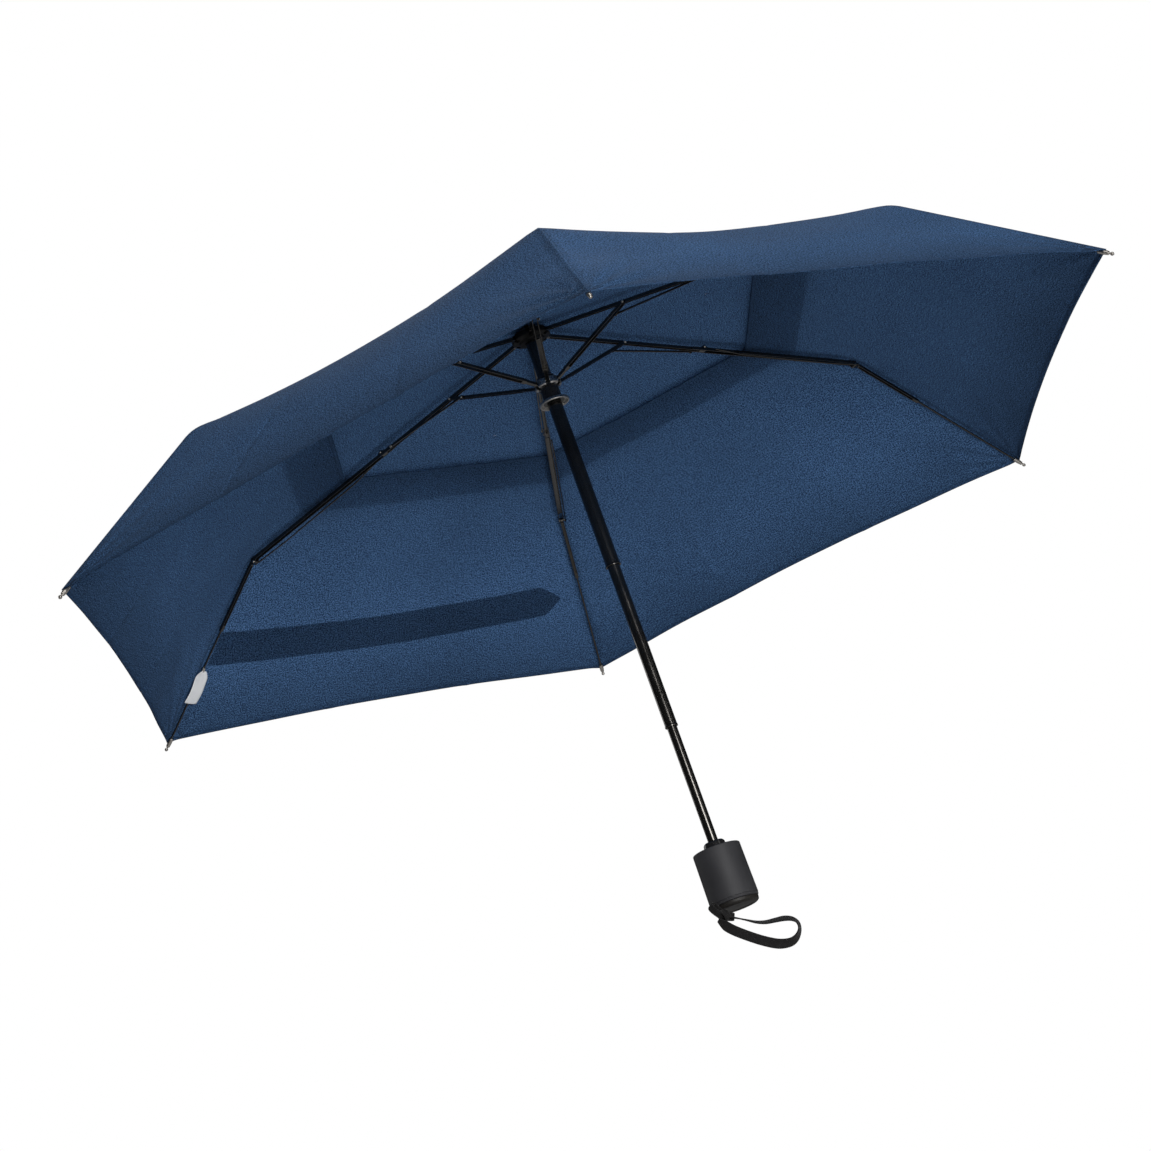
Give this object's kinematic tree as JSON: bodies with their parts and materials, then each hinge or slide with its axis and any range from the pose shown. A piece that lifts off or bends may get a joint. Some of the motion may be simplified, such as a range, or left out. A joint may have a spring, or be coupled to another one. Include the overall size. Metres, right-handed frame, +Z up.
{
  "type": "folding umbrella",
  "caption": "Compact telescopic folding umbrella, open, with jointed folding ribs, a vented double cloth canopy, sliding runner, short grip and wrist strap.",
  "frame": {"origin": "centre of the handle's flat bottom face", "axes": "+Z up the shaft to the ferrule; -Y along rib 1; ribs numbered counter-clockwise from above"},
  "size_m": [0.835, 0.9638, 0.5914],
  "materials": {
    "navy_cloth": "woven, matte, water-repellent",
    "black_steel": "glossy black lacquer",
    "bright_metal": "satin plated",
    "grip_rubber": "soft-touch matte",
    "cap_plastic": "satin",
    "hub_plastic": "satin moulded",
    "strap_webbing": "flat woven webbing"
  },
  "bodies": {
    "handle": {"handle_grip": "grip_rubber", "handle_cap": "cap_plastic", "lower_tube": "black_steel", "wrist_strap": "strap_webbing"},
    "middle_tube": {"middle_tube": "black_steel"},
    "upper_tube": {"upper_tube": "black_steel", "top_notch": "hub_plastic", "ferrule": "hub_plastic", "vent_cover": "navy_cloth", "tie_strap": "navy_cloth", "canopy_panel_1": "navy_cloth", "canopy_panel_2": "navy_cloth", "canopy_panel_3": "navy_cloth", "canopy_panel_4": "navy_cloth", "canopy_panel_5": "navy_cloth", "canopy_panel_6": "navy_cloth"},
    "runner": {"runner": "hub_plastic"},
    "top_rib_1": {"top_rib_1": "black_steel"},
    "strut_1": {"strut_1": "black_steel"},
    "link_1": {"link_1": "black_steel"},
    "middle_rib_1": {"middle_rib_1": "black_steel", "drive_wire_1": "black_steel"},
    "outer_rib_1": {"outer_rib_1": "black_steel", "rib_tip_1": "bright_metal"},
    "top_rib_2": {"top_rib_2": "black_steel"},
    "strut_2": {"strut_2": "black_steel"},
    "link_2": {"link_2": "black_steel"},
    "middle_rib_2": {"middle_rib_2": "black_steel", "drive_wire_2": "black_steel"},
    "outer_rib_2": {"outer_rib_2": "black_steel", "rib_tip_2": "bright_metal"},
    "top_rib_3": {"top_rib_3": "black_steel"},
    "strut_3": {"strut_3": "black_steel"},
    "link_3": {"link_3": "black_steel"},
    "middle_rib_3": {"middle_rib_3": "black_steel", "drive_wire_3": "black_steel"},
    "outer_rib_3": {"outer_rib_3": "black_steel", "rib_tip_3": "bright_metal"},
    "top_rib_4": {"top_rib_4": "black_steel"},
    "strut_4": {"strut_4": "black_steel"},
    "link_4": {"link_4": "black_steel"},
    "middle_rib_4": {"middle_rib_4": "black_steel", "drive_wire_4": "black_steel"},
    "outer_rib_4": {"outer_rib_4": "black_steel", "rib_tip_4": "bright_metal"},
    "top_rib_5": {"top_rib_5": "black_steel"},
    "strut_5": {"strut_5": "black_steel"},
    "link_5": {"link_5": "black_steel"},
    "middle_rib_5": {"middle_rib_5": "black_steel", "drive_wire_5": "black_steel"},
    "outer_rib_5": {"outer_rib_5": "black_steel", "rib_tip_5": "bright_metal"},
    "top_rib_6": {"top_rib_6": "black_steel"},
    "strut_6": {"strut_6": "black_steel"},
    "link_6": {"link_6": "black_steel"},
    "middle_rib_6": {"middle_rib_6": "black_steel", "drive_wire_6": "black_steel"},
    "outer_rib_6": {"outer_rib_6": "black_steel", "rib_tip_6": "bright_metal"}
  },
  "joints": [
    {"name": "lower_telescope", "type": "slide", "parent": "handle", "child": "middle_tube", "axis": [0, 0, -1], "range_m": [0, 0.0995]},
    {"name": "upper_telescope", "type": "slide", "parent": "middle_tube", "child": "upper_tube", "axis": [0, 0, -1], "range_m": [0, 0.144]},
    {"name": "runner_slide", "type": "slide", "parent": "upper_tube", "child": "runner", "axis": [0, 0, -1], "range_m": [0, 0.11958], "deforming": ["canopy_panel_1", "canopy_panel_2", "canopy_panel_3", "canopy_panel_4", "canopy_panel_5", "canopy_panel_6", "vent_cover", "tie_strap"]},
    {"name": "top_rib_hinge_1", "type": "hinge", "parent": "upper_tube", "child": "top_rib_1", "pos_m": [0, -0.015, 0.518], "axis": [1, 0, 0], "range_deg": [0, 80.2]},
    {"name": "strut_hinge_1", "type": "hinge", "parent": "runner", "child": "strut_1", "pos_m": [0, -0.01, 0.473], "axis": [1, 0, 0], "range_deg": [-65.71, 0]},
    {"name": "link_hinge_1", "type": "hinge", "parent": "strut_1", "child": "link_1", "pos_m": [0, -0.0792, 0.49984], "axis": [1, 0, 0], "range_deg": [0, 145.71]},
    {"name": "middle_rib_hinge_1", "type": "hinge", "parent": "top_rib_1", "child": "middle_rib_1", "pos_m": [0, -0.17238, 0.49259], "axis": [1, 0, 0], "range_deg": [-180.2, 0]},
    {"name": "outer_rib_hinge_1", "type": "hinge", "parent": "middle_rib_1", "child": "outer_rib_1", "pos_m": [0, -0.33013, 0.4601], "axis": [1, 0, 0], "range_deg": [0, 151.2]},
    {"name": "top_rib_hinge_2", "type": "hinge", "parent": "upper_tube", "child": "top_rib_2", "pos_m": [0.01299, -0.0075, 0.518], "axis": [0.5, 0.866, 0], "range_deg": [0, 80.2]},
    {"name": "strut_hinge_2", "type": "hinge", "parent": "runner", "child": "strut_2", "pos_m": [0.00866, -0.005, 0.473], "axis": [0.5, 0.866, 0], "range_deg": [-65.71, 0]},
    {"name": "link_hinge_2", "type": "hinge", "parent": "strut_2", "child": "link_2", "pos_m": [0.06859, -0.0396, 0.49984], "axis": [0.5, 0.866, 0], "range_deg": [0, 145.71]},
    {"name": "middle_rib_hinge_2", "type": "hinge", "parent": "top_rib_2", "child": "middle_rib_2", "pos_m": [0.14928, -0.08619, 0.49259], "axis": [0.5, 0.866, 0], "range_deg": [-180.2, 0]},
    {"name": "outer_rib_hinge_2", "type": "hinge", "parent": "middle_rib_2", "child": "outer_rib_2", "pos_m": [0.2859, -0.16507, 0.4601], "axis": [0.5, 0.866, 0], "range_deg": [0, 151.2]},
    {"name": "top_rib_hinge_3", "type": "hinge", "parent": "upper_tube", "child": "top_rib_3", "pos_m": [0.01299, 0.0075, 0.518], "axis": [-0.5, 0.866, 0], "range_deg": [0, 80.2]},
    {"name": "strut_hinge_3", "type": "hinge", "parent": "runner", "child": "strut_3", "pos_m": [0.00866, 0.005, 0.473], "axis": [-0.5, 0.866, 0], "range_deg": [-65.71, 0]},
    {"name": "link_hinge_3", "type": "hinge", "parent": "strut_3", "child": "link_3", "pos_m": [0.06859, 0.0396, 0.49984], "axis": [-0.5, 0.866, 0], "range_deg": [0, 145.71]},
    {"name": "middle_rib_hinge_3", "type": "hinge", "parent": "top_rib_3", "child": "middle_rib_3", "pos_m": [0.14928, 0.08619, 0.49259], "axis": [-0.5, 0.866, 0], "range_deg": [-180.2, 0]},
    {"name": "outer_rib_hinge_3", "type": "hinge", "parent": "middle_rib_3", "child": "outer_rib_3", "pos_m": [0.2859, 0.16507, 0.4601], "axis": [-0.5, 0.866, 0], "range_deg": [0, 151.2]},
    {"name": "top_rib_hinge_4", "type": "hinge", "parent": "upper_tube", "child": "top_rib_4", "pos_m": [0, 0.015, 0.518], "axis": [-1, 0, 0], "range_deg": [0, 80.2]},
    {"name": "strut_hinge_4", "type": "hinge", "parent": "runner", "child": "strut_4", "pos_m": [0, 0.01, 0.473], "axis": [-1, 0, 0], "range_deg": [-65.71, 0]},
    {"name": "link_hinge_4", "type": "hinge", "parent": "strut_4", "child": "link_4", "pos_m": [0, 0.0792, 0.49984], "axis": [-1, 0, 0], "range_deg": [0, 145.71]},
    {"name": "middle_rib_hinge_4", "type": "hinge", "parent": "top_rib_4", "child": "middle_rib_4", "pos_m": [0, 0.17238, 0.49259], "axis": [-1, 0, 0], "range_deg": [-180.2, 0]},
    {"name": "outer_rib_hinge_4", "type": "hinge", "parent": "middle_rib_4", "child": "outer_rib_4", "pos_m": [0, 0.33013, 0.4601], "axis": [-1, 0, 0], "range_deg": [0, 151.2]},
    {"name": "top_rib_hinge_5", "type": "hinge", "parent": "upper_tube", "child": "top_rib_5", "pos_m": [-0.01299, 0.0075, 0.518], "axis": [-0.5, -0.866, 0], "range_deg": [0, 80.2]},
    {"name": "strut_hinge_5", "type": "hinge", "parent": "runner", "child": "strut_5", "pos_m": [-0.00866, 0.005, 0.473], "axis": [-0.5, -0.866, 0], "range_deg": [-65.71, 0]},
    {"name": "link_hinge_5", "type": "hinge", "parent": "strut_5", "child": "link_5", "pos_m": [-0.06859, 0.0396, 0.49984], "axis": [-0.5, -0.866, 0], "range_deg": [0, 145.71]},
    {"name": "middle_rib_hinge_5", "type": "hinge", "parent": "top_rib_5", "child": "middle_rib_5", "pos_m": [-0.14928, 0.08619, 0.49259], "axis": [-0.5, -0.866, 0], "range_deg": [-180.2, 0]},
    {"name": "outer_rib_hinge_5", "type": "hinge", "parent": "middle_rib_5", "child": "outer_rib_5", "pos_m": [-0.2859, 0.16507, 0.4601], "axis": [-0.5, -0.866, 0], "range_deg": [0, 151.2]},
    {"name": "top_rib_hinge_6", "type": "hinge", "parent": "upper_tube", "child": "top_rib_6", "pos_m": [-0.01299, -0.0075, 0.518], "axis": [0.5, -0.866, 0], "range_deg": [0, 80.2]},
    {"name": "strut_hinge_6", "type": "hinge", "parent": "runner", "child": "strut_6", "pos_m": [-0.00866, -0.005, 0.473], "axis": [0.5, -0.866, 0], "range_deg": [-65.71, 0]},
    {"name": "link_hinge_6", "type": "hinge", "parent": "strut_6", "child": "link_6", "pos_m": [-0.06859, -0.0396, 0.49984], "axis": [0.5, -0.866, 0], "range_deg": [0, 145.71]},
    {"name": "middle_rib_hinge_6", "type": "hinge", "parent": "top_rib_6", "child": "middle_rib_6", "pos_m": [-0.14928, -0.08619, 0.49259], "axis": [0.5, -0.866, 0], "range_deg": [-180.2, 0]},
    {"name": "outer_rib_hinge_6", "type": "hinge", "parent": "middle_rib_6", "child": "outer_rib_6", "pos_m": [-0.2859, -0.16507, 0.4601], "axis": [0.5, -0.866, 0], "range_deg": [0, 151.2]}
  ],
  "couplings": [
    {"joint": "top_rib_hinge_1", "follows": "runner_slide", "rad_per_m": 11.676},
    {"joint": "strut_hinge_1", "follows": "runner_slide", "rad_per_m": -9.562},
    {"joint": "link_hinge_1", "follows": "runner_slide", "rad_per_m": 21.238},
    {"joint": "middle_rib_hinge_1", "follows": "runner_slide", "rad_per_m": -26.271},
    {"joint": "outer_rib_hinge_1", "follows": "runner_slide", "rad_per_m": 22.039},
    {"joint": "top_rib_hinge_2", "follows": "runner_slide", "rad_per_m": 11.676},
    {"joint": "strut_hinge_2", "follows": "runner_slide", "rad_per_m": -9.562},
    {"joint": "link_hinge_2", "follows": "runner_slide", "rad_per_m": 21.238},
    {"joint": "middle_rib_hinge_2", "follows": "runner_slide", "rad_per_m": -26.271},
    {"joint": "outer_rib_hinge_2", "follows": "runner_slide", "rad_per_m": 22.039},
    {"joint": "top_rib_hinge_3", "follows": "runner_slide", "rad_per_m": 11.676},
    {"joint": "strut_hinge_3", "follows": "runner_slide", "rad_per_m": -9.562},
    {"joint": "link_hinge_3", "follows": "runner_slide", "rad_per_m": 21.238},
    {"joint": "middle_rib_hinge_3", "follows": "runner_slide", "rad_per_m": -26.271},
    {"joint": "outer_rib_hinge_3", "follows": "runner_slide", "rad_per_m": 22.039},
    {"joint": "top_rib_hinge_4", "follows": "runner_slide", "rad_per_m": 11.676},
    {"joint": "strut_hinge_4", "follows": "runner_slide", "rad_per_m": -9.562},
    {"joint": "link_hinge_4", "follows": "runner_slide", "rad_per_m": 21.238},
    {"joint": "middle_rib_hinge_4", "follows": "runner_slide", "rad_per_m": -26.271},
    {"joint": "outer_rib_hinge_4", "follows": "runner_slide", "rad_per_m": 22.039},
    {"joint": "top_rib_hinge_5", "follows": "runner_slide", "rad_per_m": 11.676},
    {"joint": "strut_hinge_5", "follows": "runner_slide", "rad_per_m": -9.562},
    {"joint": "link_hinge_5", "follows": "runner_slide", "rad_per_m": 21.238},
    {"joint": "middle_rib_hinge_5", "follows": "runner_slide", "rad_per_m": -26.271},
    {"joint": "outer_rib_hinge_5", "follows": "runner_slide", "rad_per_m": 22.039},
    {"joint": "top_rib_hinge_6", "follows": "runner_slide", "rad_per_m": 11.676},
    {"joint": "strut_hinge_6", "follows": "runner_slide", "rad_per_m": -9.562},
    {"joint": "link_hinge_6", "follows": "runner_slide", "rad_per_m": 21.238},
    {"joint": "middle_rib_hinge_6", "follows": "runner_slide", "rad_per_m": -26.271},
    {"joint": "outer_rib_hinge_6", "follows": "runner_slide", "rad_per_m": 22.039}
  ]
}
